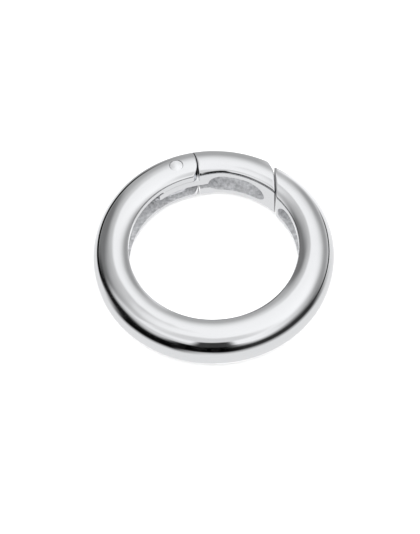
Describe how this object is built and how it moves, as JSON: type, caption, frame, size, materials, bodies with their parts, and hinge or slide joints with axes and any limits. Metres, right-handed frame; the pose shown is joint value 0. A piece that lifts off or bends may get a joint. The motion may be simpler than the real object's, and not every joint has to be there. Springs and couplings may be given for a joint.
{
  "type": "sprung gate ring",
  "caption": "Round snap clasp for keys: a polished cast ring with a recessed inner face and a sprung gate that swings inwards on a pin.",
  "frame": {"origin": "centre of the eye, at half of the band's height", "axes": "+Z along the ring's axis, +Y through the gate, so the hinge pin is on the -X side of the gate and the catch on the +X side"},
  "size_m": [0.0356, 0.0356, 0.0064],
  "materials": {
    "ring_body": "bright plated and polished die casting, with the recess left as cast",
    "gate": "bright plated and polished die casting, with the pocket left as cast",
    "hinge_pin": "steel pin polished flush with the ear",
    "torsion_spring": "drawn spring wire"
  },
  "bodies": {
    "ring": {"ring_body": "ring_body", "hinge_pin": "hinge_pin", "torsion_spring": "torsion_spring"},
    "gate": {"gate": "gate"}
  },
  "joints": [
    {"name": "gate_hinge", "type": "hinge", "parent": "ring", "child": "gate", "pos_m": [-0.00523, 0.01401, 0], "axis": [0, 0, -1], "range_deg": [0, 35], "stiffness_Nm_per_rad": 0.015, "springref_deg": -68.75, "deforming": ["torsion_spring"]}
  ]
}
